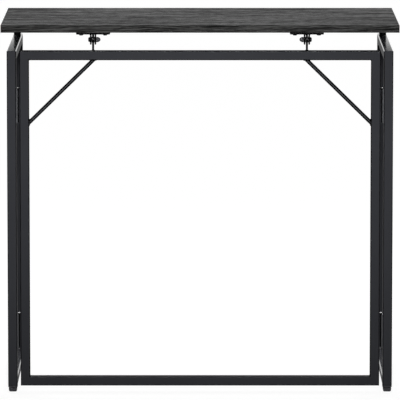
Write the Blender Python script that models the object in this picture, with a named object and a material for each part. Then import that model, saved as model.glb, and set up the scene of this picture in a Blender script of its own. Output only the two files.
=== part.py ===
"""Folding desk: a wood-grain board hinged to a steel back frame, on two side frames that fold in."""

import math

import bmesh
import bpy
from mathutils import Vector

# Board
BOARD_W = 0.800
BOARD_D = 0.400
BOARD_T = 0.015
BAND_T = 0.001

# Steel frames
FOOT_H = 0.0125
FRAME_H = 0.680
BOARD_GAP = 0.0365
TUBE = 0.019
WALL = 0.0012
TUBE_R = 0.002
SIDE_OVERHANG = 0.012
FRONT_OVERHANG = 0.020
FOLDED_GAP = 0.0094
BRACE_R = 0.004
BRACE_DROP = 0.126

# Glides in the leg ends
PLUG_H = 0.012
COLLAR_H = 0.003
GROOVE = 0.0008
GROOVE_H = 0.001
GLIDE_BASE = 0.013
GLIDE_R = 0.002

# Posts that carry the board's front
POST_R = 0.0073
POST_Y = 0.330
CAP_R = 0.0080
CAP_H = 0.009
CAP_WALL = 0.003
SPIGOT_H = 0.005

# Butt hinges between the back frame and the side frames
BARREL_R = 0.003
PIN_R = 0.0015
PIN_HEAD_R = 0.0024
PIN_HEAD_H = 0.0012
LEAF_T = 0.0015
POST_LEAF_W = 0.016
LEG_LEAF_INSET = 0.0005
HINGE_H = 0.069
HINGE_INSET = 0.077
KNUCKLES = 5

# Clevis hinges between the board and the back frame
CLEVIS_X = 0.2145
AXIS_IN = 0.012
AXIS_DROP = 0.0148
PLATE_W = 0.068
PLATE_T = 0.0035
PLATE_R = 0.004
PLATE_BACK = 0.010
PLATE_FRONT = 0.030
EAR_T = 0.003
EAR_R = 0.0101
CLEVIS_GAP = 0.0064
LUG_T = 0.004
LUG_CLEAR = 0.0002
LUG_BACK = 0.0035
LUG_FRONT = 0.0155
LUG_FOOT_H = 0.004

# Fasteners
BOLT_R = 0.003
BOLT_HEAD_R = 0.005
BOLT_HEAD_H = 0.0033
BOLT_SOCKET = 0.002
BOLT_SOCKET_H = 0.0018
NUT_FLAT = 0.005
NUT_HEX_H = 0.0042
NUT_DOME_R = 0.0044
NUT_BORE_H = 0.0055
WASHER_R = 0.006
SCREW_R = 0.002
SCREW_HEAD_R = 0.00475
SCREW_HEAD_H = 0.0022
SCREW_CROSS_R = 0.0021
SCREW_CROSS_H = 0.0012
SCREW_BITE = 0.0095
SCREW_X = 0.024
SCREW_EDGE = 0.009

# Fits
GAP = 0.0003
FINE = 24
COARSE = 16

# Levels and places worked out from the sizes above
FRAME_TOP = FOOT_H + FRAME_H
BOARD_UNDER = FRAME_TOP + BOARD_GAP
BACK_Y = -BOARD_D / 2
HINGE_GAP = 2 * (BARREL_R + GAP)
BACK_W = BOARD_W - 2 * (SIDE_OVERHANG + TUBE + HINGE_GAP)
PIN_X = (BACK_W + HINGE_GAP) / 2
PIN_Y = BACK_Y + TUBE
SIDE_D = min(BOARD_D - FRONT_OVERHANG, PIN_X + TUBE - FOLDED_GAP / 2)
LEG_X = BACK_W / 2 + HINGE_GAP + TUBE / 2
AXIS_Y = BACK_Y + AXIS_IN
AXIS_Z = BOARD_UNDER - AXIS_DROP
LUG_EYE_R = AXIS_DROP - GAP - PLATE_T - LUG_CLEAR
SHANK_HOLE_R = BOLT_R + GAP
SCREW_HOLE_R = SCREW_R + GAP
WASHER_T = (CLEVIS_GAP - LUG_T) / 2 - 2 * GAP
CLEVIS_W = CLEVIS_GAP + 2 * EAR_T
MITRE_GAP = GAP / math.sqrt(2)
SIDES = (("left", -1), ("right", 1))

TURN_X = (0, math.pi / 2, 0)
TURN_Y = (-math.pi / 2, 0, 0)


def clear_scene():
    for obj in list(bpy.data.objects):
        bpy.data.objects.remove(obj)


def srgb(hex_colour):
    """A hex colour as linear light."""
    values = [int(hex_colour[i : i + 2], 16) / 255 for i in (0, 2, 4)]
    return [v / 12.92 if v <= 0.04045 else ((v + 0.055) / 1.055) ** 2.4 for v in values] + [1]


def material(name, hex_colour, roughness, metallic=0.0):
    made = bpy.data.materials.new(name)
    made.use_nodes = True
    shader = made.node_tree.nodes["Principled BSDF"]
    shader.inputs["Base Color"].default_value = srgb(hex_colour)
    shader.inputs["Roughness"].default_value = roughness
    shader.inputs["Metallic"].default_value = metallic
    return made


def empty(name, place):
    made = bpy.data.objects.new(name, None)
    made.empty_display_size = 0.03
    made.location = place
    bpy.context.collection.objects.link(made)
    return made


def add(name, bm, look, place, parent=None, turn=(0, 0, 0)):
    """Makes a named object of a bmesh, at a place in the world, riding on its parent."""
    bmesh.ops.recalc_face_normals(bm, faces=bm.faces)
    mesh = bpy.data.meshes.new(name)
    bm.to_mesh(mesh)
    bm.free()
    mesh.polygons.foreach_set("use_smooth", [True] * len(mesh.polygons))
    mesh.set_sharp_from_angle(angle=math.radians(35))
    mesh.materials.append(look)
    obj = bpy.data.objects.new(name, mesh)
    bpy.context.collection.objects.link(obj)
    obj.parent = parent
    obj.location = Vector(place) - (parent.location if parent else Vector())
    obj.rotation_euler = turn
    return obj


def combine(obj, operation, bm):
    """Cuts a shape out of an object, or joins it on, both in the object's own coordinates."""
    tool = add(f"{operation.lower()}_{obj.name}", bm, obj.data.materials[0], (0, 0, 0))
    tool.parent = obj.parent
    tool.location = obj.location
    tool.rotation_euler = obj.rotation_euler
    tool.hide_render = True
    tool.display_type = "WIRE"
    modifier = obj.modifiers.new(operation.title(), "BOOLEAN")
    modifier.operation = operation
    modifier.solver = "EXACT"
    modifier.object = tool


def polar(count, radius_at):
    """A closed outline of points at even angles, with a radius for each angle."""
    angles = [2 * math.pi * i / count for i in range(count)]
    return [(radius_at(a) * math.cos(a), radius_at(a) * math.sin(a)) for a in angles]


def circle(radius, count=FINE):
    return polar(count, lambda angle: radius)


def hexagon(flat, count=FINE):
    """A hexagon by half its width across flats, with a corner at angle 0."""
    sixth = math.pi / 3
    return polar(count, lambda angle: flat / math.cos(angle % sixth - sixth / 2))


def cross(reach, count=FINE):
    """A cross recess whose arms are as wide as two steps of the outline."""
    half = reach * math.tan(2 * math.pi / count)

    def radius_at(angle):
        along = max(abs(math.cos(angle)), abs(math.sin(angle)))
        across = min(abs(math.cos(angle)), abs(math.sin(angle)))
        return min(reach / along, half / across if across > 1e-6 else reach)

    return polar(count, radius_at)


def rounded(width, depth, radius, steps=4):
    """A rectangle with round corners, centred."""
    points = []
    for quarter, (sx, sy) in enumerate(((1, 1), (-1, 1), (-1, -1), (1, -1))):
        for step in range(steps + 1):
            angle = (quarter + step / steps) * math.pi / 2
            points.append(
                (
                    sx * (width / 2 - radius) + radius * math.cos(angle),
                    sy * (depth / 2 - radius) + radius * math.sin(angle),
                )
            )
    return points


def loft(sections, closed=False):
    """A skin over outlines of equal count at their heights, capped at both ends or joined round."""
    bm = bmesh.new()
    rings = [[bm.verts.new((x, y, z)) for x, y in outline] for outline, z in sections]
    pairs = list(zip(rings, rings[1:]))
    if closed:
        pairs.append((rings[-1], rings[0]))
    for lower, upper in pairs:
        for i in range(len(lower)):
            bm.faces.new((lower[i - 1], lower[i], upper[i], upper[i - 1]))
    if not closed:
        bm.faces.new(rings[0])
        bm.faces.new(rings[-1])
    return bm


def sheet(outline, holes, thickness):
    """A flat sheet from 0 to its thickness along Z, with round holes as ((x, y), radius)."""
    bm = bmesh.new()
    rings = [outline]
    for (x, y), radius in holes:
        rings.append([(x + px, y + py) for px, py in circle(radius, COARSE)])
    edges = []
    for ring in rings:
        verts = [bm.verts.new((x, y, 0)) for x, y in ring]
        edges += [bm.edges.new((verts[i - 1], verts[i])) for i in range(len(verts))]
    faces = bmesh.ops.triangle_fill(bm, edges=edges, use_beauty=True)["geom"]
    faces = [f for f in faces if isinstance(f, bmesh.types.BMFace)]
    grown = bmesh.ops.extrude_face_region(bm, geom=faces, use_keep_orig=True)["geom"]
    lifted = [v for v in grown if isinstance(v, bmesh.types.BMVert)]
    bmesh.ops.translate(bm, verts=lifted, vec=(0, 0, thickness))
    return bm


def rod(x, y, radius, low, high):
    """An upright rod, to cut a round hole with."""
    ring = [(x + px, y + py) for px, py in circle(radius, COARSE)]
    return loft([(ring, low), (ring, high)])


def merged(shapes):
    """Separate shapes in one mesh, so that one modifier uses them all."""
    joined = bmesh.new()
    for shape in shapes:
        mesh = bpy.data.meshes.new("shape")
        shape.to_mesh(mesh)
        shape.free()
        joined.from_mesh(mesh)
        bpy.data.meshes.remove(mesh)
    return joined


def sloped_prism(outlines, length, low, high):
    """A bar or tube along Z whose ends slope by (x, y). A second outline is its bore."""

    def reach(slope):
        mitred = any(slope)
        return (TUBE / 2 + MITRE_GAP) if mitred else 0

    bm = bmesh.new()
    rings = []
    for outline in outlines:
        starts = [(x, y, reach(low) + low[0] * x + low[1] * y) for x, y in outline]
        stops = [(x, y, length - reach(high) + high[0] * x + high[1] * y) for x, y in outline]
        rings.append([[bm.verts.new(point) for point in ring] for ring in (starts, stops)])
    for start, stop in rings:
        for i in range(len(start)):
            bm.faces.new((start[i - 1], start[i], stop[i], stop[i - 1]))
    outer, inner = rings
    for end in (0, 1):
        for i in range(len(outer[end])):
            bm.faces.new((outer[end][i - 1], outer[end][i], inner[end][i], inner[end][i - 1]))
    return bm


def square_tube(length, low=(0, 0), high=(0, 0)):
    bore = TUBE - 2 * WALL
    outlines = (rounded(TUBE, TUBE, TUBE_R), rounded(bore, bore, TUBE_R - WALL))
    return sloped_prism(outlines, length, low, high)


def back_frame(steel):
    """Four tubes mitred into an upright frame, flush with the legs and clear of the floor."""
    y = BACK_Y + TUBE / 2
    rail_x = -BACK_W / 2
    top = FRAME_TOP - TUBE / 2
    bottom = FOOT_H + TUBE / 2
    add("back_top_rail", square_tube(BACK_W, (1, 0), (-1, 0)), steel, (rail_x, y, top), None, TURN_X)
    add("back_bottom_rail", square_tube(BACK_W, (-1, 0), (1, 0)), steel, (rail_x, y, bottom), None, TURN_X)
    for side, sign in SIDES:
        post = square_tube(FRAME_H, (-sign, 0), (sign, 0))
        add(f"back_{side}_post", post, steel, (sign * (BACK_W - TUBE) / 2, y, FOOT_H))


def corner_brace(side, sign, steel):
    """A rod from the post to the rail under the lug, each end cut flat to what it is welded to."""
    post_face = BACK_W / 2 - TUBE - GAP
    rail_face = FRAME_TOP - TUBE - GAP
    run = Vector((post_face - CLEVIS_X, 0, BRACE_DROP))
    steep = run.z / run.x
    bm = bmesh.new()
    across = run.normalized()
    turned = Vector((-across.z, 0, across.x))
    rings = [[], []]
    for u, v in circle(BRACE_R, COARSE):
        point = u * turned + Vector((0, v, 0))
        rings[0].append(bm.verts.new(point - across * (point.x / across.x)))
        rings[1].append(bm.verts.new(point - across * (point.z / across.z) + run))
    for i in range(COARSE):
        bm.faces.new((rings[0][i - 1], rings[0][i], rings[1][i], rings[1][i - 1]))
    bm.faces.new(rings[0])
    bm.faces.new(rings[1])
    for vert in bm.verts:
        vert.co.x *= -sign
    place = (sign * post_face, BACK_Y + TUBE / 2, rail_face - steep * run.x)
    add(f"{side}_corner_brace", bm, steel, place)


def tangent(point, radius, upper):
    """Where a line from a point touches a circle about the origin, as an angle."""
    outward = math.atan2(point[1], point[0])
    spread = math.acos(radius / math.hypot(*point))
    return outward - spread if upper else outward + spread


def hinge_lug(side, sign, steel):
    """An upright plate on the back rail. Its sides rise from a foot to touch the round of its eye."""
    rail = FRAME_TOP - AXIS_Z
    heel = (BACK_Y + LUG_BACK - AXIS_Y, rail + LUG_FOOT_H)
    toe = (BACK_Y + LUG_FRONT - AXIS_Y, rail + LUG_FOOT_H)
    start = tangent(toe, LUG_EYE_R, False)
    stop = tangent(heel, LUG_EYE_R, True)
    sweep = (stop - start) % (2 * math.pi)
    arc = [start + sweep * i / FINE for i in range(FINE + 1)]
    outline = [(heel[0], rail + GAP), (toe[0], rail + GAP), toe]
    outline += [(LUG_EYE_R * math.cos(a), LUG_EYE_R * math.sin(a)) for a in arc]
    outline.append(heel)
    bm = sheet(outline, [((0, 0), SHANK_HOLE_R)], LUG_T)
    place = (sign * CLEVIS_X - LUG_T / 2, AXIS_Y, AXIS_Z)
    add(f"{side}_hinge_lug", bm, steel, place, None, (math.pi / 2, 0, math.pi / 2))


def knuckle_spans(own):
    """The height of each knuckle that a leaf has, or of each that it leaves to the other."""
    pitch = (HINGE_H + GAP) / KNUCKLES
    return [(i * pitch, (i + 1) * pitch - GAP) for i in range(KNUCKLES) if (i % 2 == 0) == own]


def hinge_leaf(name, width, toward, own, steel, place, parent):
    """A leaf with its share of the barrel. The leaf lies on the side that it is welded to."""
    bend = -math.acos(1 - LEAF_T / BARREL_R)
    sweep = 2 * math.pi + bend
    arc = [sweep * i / FINE for i in range(FINE + 1)]
    outline = [(BARREL_R - LEAF_T, -width), (BARREL_R, -width)]
    outline += [(BARREL_R * math.cos(a), BARREL_R * math.sin(a)) for a in arc]
    bm = sheet([(toward * x, y) for x, y in outline], [((0, 0), PIN_R + GAP)], HINGE_H)
    leaf = add(name, bm, steel, place, parent)
    clear_r = BARREL_R + GAP
    slots = [rod(0, 0, clear_r, low - GAP, high + GAP) for low, high in knuckle_spans(not own)]
    combine(leaf, "DIFFERENCE", merged(slots))


def hinge_pin(name, steel, place):
    """A pin through the barrel with a domed head on top."""
    head = HINGE_H + GAP
    sections = [
        (circle(PIN_R, COARSE), 0),
        (circle(PIN_R, COARSE), head),
        (circle(PIN_HEAD_R, COARSE), head),
        (circle(PIN_HEAD_R, COARSE), head + PIN_HEAD_H / 2),
        (circle(PIN_HEAD_R * 0.6, COARSE), head + PIN_HEAD_H),
    ]
    add(name, loft(sections), steel, place)


def side_hinges(side, sign, fold, steel, zinc):
    """Two hinges, shut in the gap between the post and the leg while the desk stands open."""
    lower = FOOT_H + HINGE_INSET
    upper = FRAME_TOP - HINGE_INSET - HINGE_H
    for level, z in (("lower", lower), ("upper", upper)):
        place = (sign * PIN_X, PIN_Y, z)
        hinge_leaf(f"{side}_{level}_post_leaf", POST_LEAF_W, -sign, True, steel, place, None)
        hinge_leaf(f"{side}_{level}_leg_leaf", TUBE - LEG_LEAF_INSET, sign, False, steel, place, fold)
        hinge_pin(f"{side}_{level}_hinge_pin", zinc, place)


def glide(name, plastic, place, parent):
    """A push-in foot: a plug inside the tube, a collar, a groove and a tapering base."""
    plug = TUBE - 2 * WALL - 2 * GAP
    neck = TUBE - 2 * GROOVE
    belly = neck - GROOVE
    under = FOOT_H - GAP
    collar = under - COLLAR_H
    taper = collar - GROOVE_H
    plug_r = TUBE_R - WALL - GAP
    shoulder = (GLIDE_BASE + 2 * belly) / 3
    sections = [
        (rounded(GLIDE_BASE, GLIDE_BASE, GLIDE_R), 0),
        (rounded(shoulder, shoulder, TUBE_R), GLIDE_R / 3),
        (rounded(belly, belly, TUBE_R), GLIDE_R),
        (rounded(belly, belly, TUBE_R - GROOVE), taper - GROOVE),
        (rounded(neck, neck, TUBE_R - GROOVE), taper),
        (rounded(neck - GROOVE, neck - GROOVE, TUBE_R - GROOVE), taper),
        (rounded(neck - GROOVE, neck - GROOVE, TUBE_R - GROOVE), collar),
        (rounded(TUBE, TUBE, TUBE_R), collar),
        (rounded(TUBE, TUBE, TUBE_R), under),
        (rounded(plug, plug, plug_r), under),
        (rounded(plug, plug, plug_r), under + PLUG_H),
    ]
    add(name, loft(sections), plastic, place, parent)


def support_post(side, sign, fold, steel, rubber):
    """A peg on the side frame with a rubber cap that the board lies on."""
    spigot_r = POST_R - CAP_WALL
    foot = FRAME_TOP + GAP
    shoulder = BOARD_UNDER - GAP - CAP_H - GAP - foot
    place = (sign * LEG_X, BACK_Y + POST_Y, foot)
    peg = [
        (circle(POST_R), 0),
        (circle(POST_R), shoulder),
        (circle(spigot_r), shoulder),
        (circle(spigot_r), shoulder + SPIGOT_H),
    ]
    add(f"{side}_support_post", loft(peg), steel, place, fold)
    seat = spigot_r + GAP
    cap = [
        (circle(seat), SPIGOT_H + GAP),
        (circle(seat), 0),
        (circle(CAP_R), 0),
        (circle(CAP_R), CAP_H - CAP_WALL / 3),
        (circle(CAP_R - CAP_WALL / 3), CAP_H),
    ]
    cap_place = (place[0], place[1], foot + shoulder + GAP)
    add(f"{side}_post_cap", loft(cap), rubber, cap_place, fold)


def side_frame(side, sign, fold, steel, plastic):
    """Two legs mitred to a top rail, with a lower rail between them and a glide under each leg."""
    x = sign * LEG_X
    rear = BACK_Y + TUBE / 2
    front = BACK_Y + SIDE_D - TUBE / 2
    for end, y, slope in (("rear", rear, -1), ("front", front, 1)):
        leg = square_tube(FRAME_H, (0, 0), (0, slope))
        add(f"{side}_{end}_leg", leg, steel, (x, y, FOOT_H), fold)
        glide(f"{side}_{end}_foot", plastic, (x, y, 0), fold)
    top = square_tube(SIDE_D, (0, 1), (0, -1))
    add(f"{side}_top_rail", top, steel, (x, BACK_Y, FRAME_TOP - TUBE / 2), fold, TURN_Y)
    start = BACK_Y + TUBE + GAP
    low = square_tube(SIDE_D - 2 * (TUBE + GAP))
    add(f"{side}_bottom_rail", low, steel, (x, start, FOOT_H + TUBE / 2), fold, TURN_Y)


def screw_places():
    """Where the four screws of a bracket stand, from the hinge axis."""
    rows = (SCREW_EDGE - PLATE_BACK, PLATE_FRONT - SCREW_EDGE)
    return [(x, y) for x in (-SCREW_X, SCREW_X) for y in rows]


def clevis_bracket(side, sign, lift, steel):
    """A screw plate under the board with two ears round the lug."""
    depth = PLATE_BACK + PLATE_FRONT
    middle = (PLATE_FRONT - PLATE_BACK) / 2
    outline = [(x, y + middle) for x, y in rounded(PLATE_W, depth, PLATE_R)]
    holes = [(place, SCREW_HOLE_R) for place in screw_places()]
    place = (sign * CLEVIS_X, AXIS_Y, BOARD_UNDER - GAP - PLATE_T)
    bracket = add(f"{side}_clevis_bracket", sheet(outline, holes, PLATE_T), steel, place, lift)
    drop = AXIS_Z - place[2]
    arc = [math.pi * i / COARSE for i in range(COARSE + 1)]
    shape = [(EAR_R * math.cos(a), drop - EAR_R * math.sin(a)) for a in arc]
    shape += [(-EAR_R, PLATE_T / 2), (EAR_R, PLATE_T / 2)]
    ears = []
    for start in (-CLEVIS_W / 2, CLEVIS_GAP / 2):
        ear = sheet(shape, [((0, drop), SHANK_HOLE_R)], EAR_T)
        for vert in ear.verts:
            y, z, x = vert.co
            vert.co = (start + x, y, z)
        ears.append(ear)
    combine(bracket, "UNION", merged(ears))


def bracket_screws(side, sign, lift, dark_zinc):
    """Pan-head screws up through the plate into the board."""
    head = SCREW_HEAD_H
    tip = head + GAP + PLATE_T + GAP + SCREW_BITE
    sections = [
        (cross(SCREW_CROSS_R, COARSE), SCREW_CROSS_H),
        (cross(SCREW_CROSS_R, COARSE), 0),
        (circle(SCREW_HEAD_R * 0.75, COARSE), 0),
        (circle(SCREW_HEAD_R, COARSE), head * 0.55),
        (circle(SCREW_HEAD_R, COARSE), head),
        (circle(SCREW_R, COARSE), head),
        (circle(SCREW_R, COARSE), tip - SCREW_R),
        (circle(SCREW_R / 4, COARSE), tip),
    ]
    z = BOARD_UNDER - GAP - PLATE_T - GAP - head
    for number, (x, y) in enumerate(screw_places(), 1):
        place = (sign * CLEVIS_X + x, AXIS_Y + y, z)
        add(f"{side}_bracket_screw_{number}", loft(sections), dark_zinc, place, lift)


def hinge_bolt(side, sign, lift, steel):
    """A button-head bolt, head on the outside of the desk, with a hexagon socket."""
    grip = CLEVIS_W + 2 * GAP
    sections = [
        (hexagon(BOLT_SOCKET), BOLT_SOCKET_H - BOLT_HEAD_H),
        (hexagon(BOLT_SOCKET), -BOLT_HEAD_H),
        (circle(BOLT_HEAD_R * 0.62), -BOLT_HEAD_H),
        (circle(BOLT_HEAD_R * 0.88), -BOLT_HEAD_H * 0.65),
        (circle(BOLT_HEAD_R), -BOLT_HEAD_H * 0.2),
        (circle(BOLT_HEAD_R), 0),
        (circle(BOLT_R), 0),
        (circle(BOLT_R), grip + NUT_BORE_H - 2 * GAP),
    ]
    place = (sign * (CLEVIS_X + CLEVIS_W / 2 + GAP), AXIS_Y, AXIS_Z)
    add(f"{side}_hinge_bolt", loft(sections), steel, place, lift, (0, -sign * math.pi / 2, 0))


def cap_nut(side, sign, lift, zinc):
    """A domed nut on the inner end of the bolt."""
    quarter = [math.pi / 2 * i / 5 for i in range(5)]
    dome = [(circle(NUT_DOME_R * math.cos(a)), NUT_HEX_H + NUT_DOME_R * math.sin(a)) for a in quarter]
    sections = [
        (circle(SHANK_HOLE_R), NUT_BORE_H),
        (circle(SHANK_HOLE_R), 0),
        (circle(NUT_FLAT), 0),
        (hexagon(NUT_FLAT), NUT_HEX_H * 0.1),
        (hexagon(NUT_FLAT), NUT_HEX_H * 0.9),
        (circle(NUT_FLAT), NUT_HEX_H),
    ] + dome
    place = (sign * (CLEVIS_X - CLEVIS_W / 2 - GAP), AXIS_Y, AXIS_Z)
    add(f"{side}_cap_nut", loft(sections), zinc, place, lift, (0, -sign * math.pi / 2, 0))


def clevis_washers(side, sign, lift, plastic):
    """A thin washer on each side of the lug."""
    for where, start in (("outer", LUG_T / 2 + GAP), ("inner", -LUG_T / 2 - GAP - WASHER_T)):
        ring = [
            (circle(SHANK_HOLE_R, COARSE), 0),
            (circle(WASHER_R, COARSE), 0),
            (circle(WASHER_R, COARSE), WASHER_T),
            (circle(SHANK_HOLE_R, COARSE), WASHER_T),
        ]
        low = min(sign * start, sign * (start + WASHER_T))
        place = (sign * CLEVIS_X + low, AXIS_Y, AXIS_Z)
        add(f"{side}_{where}_washer", loft(ring, True), plastic, place, lift, TURN_X)


def board(lift, wood, band):
    """The board with blind screw holes under it, and a band glued on each of its four edges."""
    margin = BAND_T + GAP
    core_w = BOARD_W - 2 * margin
    core_d = BOARD_D - 2 * margin
    corner = [(core_w / 2, core_d / 2), (-core_w / 2, core_d / 2)]
    outline = corner + [(-x, -y) for x, y in corner]
    core = loft([(outline, 0), (outline, BOARD_T)])
    desktop = add("desktop_board", core, wood, (0, 0, BOARD_UNDER), lift)
    centres = [sign * CLEVIS_X for _, sign in SIDES]
    holes = [(centre + x, AXIS_Y + y) for centre in centres for x, y in screw_places()]
    depth = SCREW_BITE + GAP
    combine(desktop, "DIFFERENCE", merged(rod(x, y, SCREW_HOLE_R, -depth, depth) for x, y in holes))
    long_edge = rounded(BOARD_W, BAND_T, BAND_T / 4, 2)
    short_edge = rounded(BAND_T, core_d, BAND_T / 4, 2)
    out_y = (BOARD_D - BAND_T) / 2
    out_x = (BOARD_W - BAND_T) / 2
    for name, shape, x, y in (
        ("rear_edge_band", long_edge, 0, -out_y),
        ("front_edge_band", long_edge, 0, out_y),
        ("left_edge_band", short_edge, -out_x, 0),
        ("right_edge_band", short_edge, out_x, 0),
    ):
        add(name, loft([(shape, 0), (shape, BOARD_T)]), band, (x, y, BOARD_UNDER), lift)


def main():
    clear_scene()
    steel = material("black_powder_coat", "37383b", 0.42)
    wood = material("black_oak_melamine", "575757", 0.5)
    band = material("black_oak_edge_band", "373737", 0.5)
    plastic = material("black_plastic", "2c2d2f", 0.5)
    rubber = material("black_rubber", "202022", 0.8)
    zinc = material("zinc_plated_steel", "9a9b9d", 0.35, 1.0)
    dark_zinc = material("black_zinc_plated_steel", "2e2e30", 0.4, 1.0)
    lift = empty("desktop_lift", (0, AXIS_Y, AXIS_Z))
    board(lift, wood, band)
    back_frame(steel)
    for side, sign in SIDES:
        fold = empty(f"{side}_side_fold", (sign * PIN_X, PIN_Y, 0))
        side_frame(side, sign, fold, steel, plastic)
        support_post(side, sign, fold, steel, rubber)
        side_hinges(side, sign, fold, steel, zinc)
        corner_brace(side, sign, steel)
        hinge_lug(side, sign, steel)
        clevis_bracket(side, sign, lift, steel)
        bracket_screws(side, sign, lift, dark_zinc)
        hinge_bolt(side, sign, lift, steel)
        cap_nut(side, sign, lift, zinc)
        clevis_washers(side, sign, lift, plastic)


main()
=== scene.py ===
# %% [markdown]
# # A folding desk: the looks
#
# The desk is a dark wood-grain board on a frame of square steel tube. Its two side frames fold in on
# butt hinges, and the board turns up on two bolted hinges over the back rail. The solids are already made
# and packed, with a body for each thing that moves. This lesson dresses them: nearly every piece is
# modelled again with rounder edges, welds and recesses, gets a procedural finish, and rides on the body
# that it belongs to.

import math

import bmesh
import bpy
from mathutils import Matrix, Vector


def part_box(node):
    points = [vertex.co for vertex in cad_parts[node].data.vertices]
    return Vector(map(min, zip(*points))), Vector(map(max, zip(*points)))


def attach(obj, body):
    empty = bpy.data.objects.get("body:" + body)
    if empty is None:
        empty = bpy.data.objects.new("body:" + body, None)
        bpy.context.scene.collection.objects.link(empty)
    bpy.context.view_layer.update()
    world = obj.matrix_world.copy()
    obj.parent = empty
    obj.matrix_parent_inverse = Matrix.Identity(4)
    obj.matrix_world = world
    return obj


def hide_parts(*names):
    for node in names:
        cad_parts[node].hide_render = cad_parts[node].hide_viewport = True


MM = 0.001
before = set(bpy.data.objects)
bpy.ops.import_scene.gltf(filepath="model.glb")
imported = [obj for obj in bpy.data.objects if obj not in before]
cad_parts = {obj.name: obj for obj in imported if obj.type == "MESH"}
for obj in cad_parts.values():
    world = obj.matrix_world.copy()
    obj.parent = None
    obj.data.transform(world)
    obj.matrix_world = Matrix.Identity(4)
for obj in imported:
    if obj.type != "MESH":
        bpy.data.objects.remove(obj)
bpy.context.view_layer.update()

# %% [markdown]
# ## Small tools for materials
#
# Paint charts and colour pickers give sRGB, but shaders work in linear light, so one function turns a hex
# code into linear values. The next one adds a node, sets what it is told and links the sockets it is
# given. The last two start a material with constant values and link sockets to its shader. Every material
# below is built with these.


# %% Colour and node tools
def linear(code):
    """A hex colour in linear light, with alpha."""
    values = [int(code[i : i + 2], 16) / 255 for i in (0, 2, 4)]
    return [v / 12.92 if v <= 0.04045 else ((v + 0.055) / 1.055) ** 2.4 for v in values] + [1]


def add_node(tree, kind, inputs=None, **settings):
    """Adds a node. An input is a socket to link from, or a plain value."""
    made = tree.nodes.new(kind)
    for name, value in settings.items():
        setattr(made, name, value)
    for name, value in (inputs or {}).items():
        if isinstance(value, bpy.types.NodeSocket):
            tree.links.new(value, made.inputs[name])
        else:
            made.inputs[name].default_value = value
    return made


def new_material(name, **values):
    """A Principled material with constant values set on the shader's own sockets."""
    made = bpy.data.materials.new(name)
    made.use_nodes = True
    shader = made.node_tree.nodes["Principled BSDF"]
    for socket, value in values.items():
        shader.inputs[socket.replace("_", " ")].default_value = value
    return made, made.node_tree, shader


def drive(tree, shader, **sockets):
    """Links sockets to the shader's inputs."""
    for name, socket in sockets.items():
        tree.links.new(socket, shader.inputs[name.replace("_", " ")])


print("mid grey in linear light:", round(linear("808080")[0], 3))

# %% [markdown]
# ## Powder-coated steel
#
# The frames are mild-steel tube under a satin black powder coat. The powder melts in an oven and flows
# almost level, which leaves a slight orange peel: waves two or three millimetres long and a few hundredths
# of a millimetre high. They can't be seen as bumps from across a room, but they soften every reflection.
# The photograph shows the tops of the side rails as mirrors and the upright faces nearly matt. So the gloss
# is a clear layer over a matt black: full on level faces, thin on upright ones, with some of it kept on
# faces that look sideways. The rolled edges are smoother than the flats, and painted darker as painted
# shade along every corner: the piece's own normal tells how far a spot has turned away from the nearest
# flat. Noise on Object coordinates gives the peel, and a broader noise lets the gloss and the black vary a
# little. One function makes all the coats: a duller one for the back frame, one for the rods with a
# painted highlight in a lighter core and painted shade along the sides, a near-black one for the fittings
# as painted shade where they sit under the board and in the hinge gaps, and a lighter one for the hinge
# leaves on the legs as a painted highlight.

# %% Ranges, mixes and noises
NOISE_SPAN = (0.3, 0.7)


def stretch(tree, value, low, high, start=0.0, stop=1.0):
    """Maps a value from one range to another."""
    ranges = {"Value": value, "From Min": low, "From Max": high, "To Min": start, "To Max": stop}
    return add_node(tree, "ShaderNodeMapRange", ranges).outputs["Result"]


def blend(tree, share, first, second):
    """A value between two."""
    return add_node(tree, "ShaderNodeMix", {"Factor": share, "A": first, "B": second}).outputs["Result"]


def tinted(tree, share, first, second):
    """A colour between two. Each is a hex code or a socket."""
    first, second = (linear(c) if isinstance(c, str) else c for c in (first, second))
    ends = {"Factor": share, "A": first, "B": second}
    return add_node(tree, "ShaderNodeMix", ends, data_type="RGBA").outputs["Result"]


def larger(tree, first, second):
    """The larger of two values."""
    return add_node(tree, "ShaderNodeMath", {0: first, 1: second}, operation="MAXIMUM").outputs["Value"]


def own_place(tree):
    """A spot's place in Object coordinates."""
    return add_node(tree, "ShaderNodeTexCoord").outputs["Object"]


def noise(tree, where, wave, detail, distortion=0.0):
    """A noise with lumps about one wave long. Most of its values lie in NOISE_SPAN."""
    inputs = {"Vector": where, "Scale": 1 / wave, "Detail": detail, "Distortion": distortion}
    return add_node(tree, "ShaderNodeTexNoise", inputs).outputs["Fac"]


def relief(tree, height, depth, strength=0.5):
    """A normal that is bent by a height."""
    inputs = {"Height": height, "Distance": depth, "Strength": strength}
    return add_node(tree, "ShaderNodeBump", inputs).outputs["Normal"]


print("node tools ready")

# %% Satin powder coat
PEEL_WAVE = 2.5 * MM
PEEL_HEIGHT = 0.02 * MM
PEEL_RELIEF = 0.6
PEEL_DETAIL = 2
COAT_CLOUD = 90 * MM
CLOUD_DETAIL = 3
MATT_ROUGH = 0.6
FLAT_ROUGH = (0.19, 0.26)
EDGE_ROUGH = 0.04
UPRIGHT_GLOSS = 0.04
LEVEL_GLOSS = 1.0
GLOSS_TURN = (0.02, 0.2)
SIDE_GLOSS = 0.2
SIDE_TURN = (0.97, 0.995)
PAINTED_EDGE_SHADE_TURN = (0.93, 0.998)
ROD_PAINTED_SHADE_TURN = (0.955, 0.999)


def own_facing(tree):
    """How squarely a face looks along each of the piece's own axes, from 0 to 1."""
    normal = add_node(tree, "ShaderNodeTexCoord").outputs["Normal"]
    size = add_node(tree, "ShaderNodeVectorMath", {0: normal}, operation="ABSOLUTE").outputs["Vector"]
    return add_node(tree, "ShaderNodeSeparateXYZ", {"Vector": size}).outputs


def flatness(tree, facing, turn):
    """1 on a face that lies square to one of the piece's own axes, and 0 round its corners."""
    most = larger(tree, larger(tree, facing["X"], facing["Y"]), facing["Z"])
    return stretch(tree, most, *turn)


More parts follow.
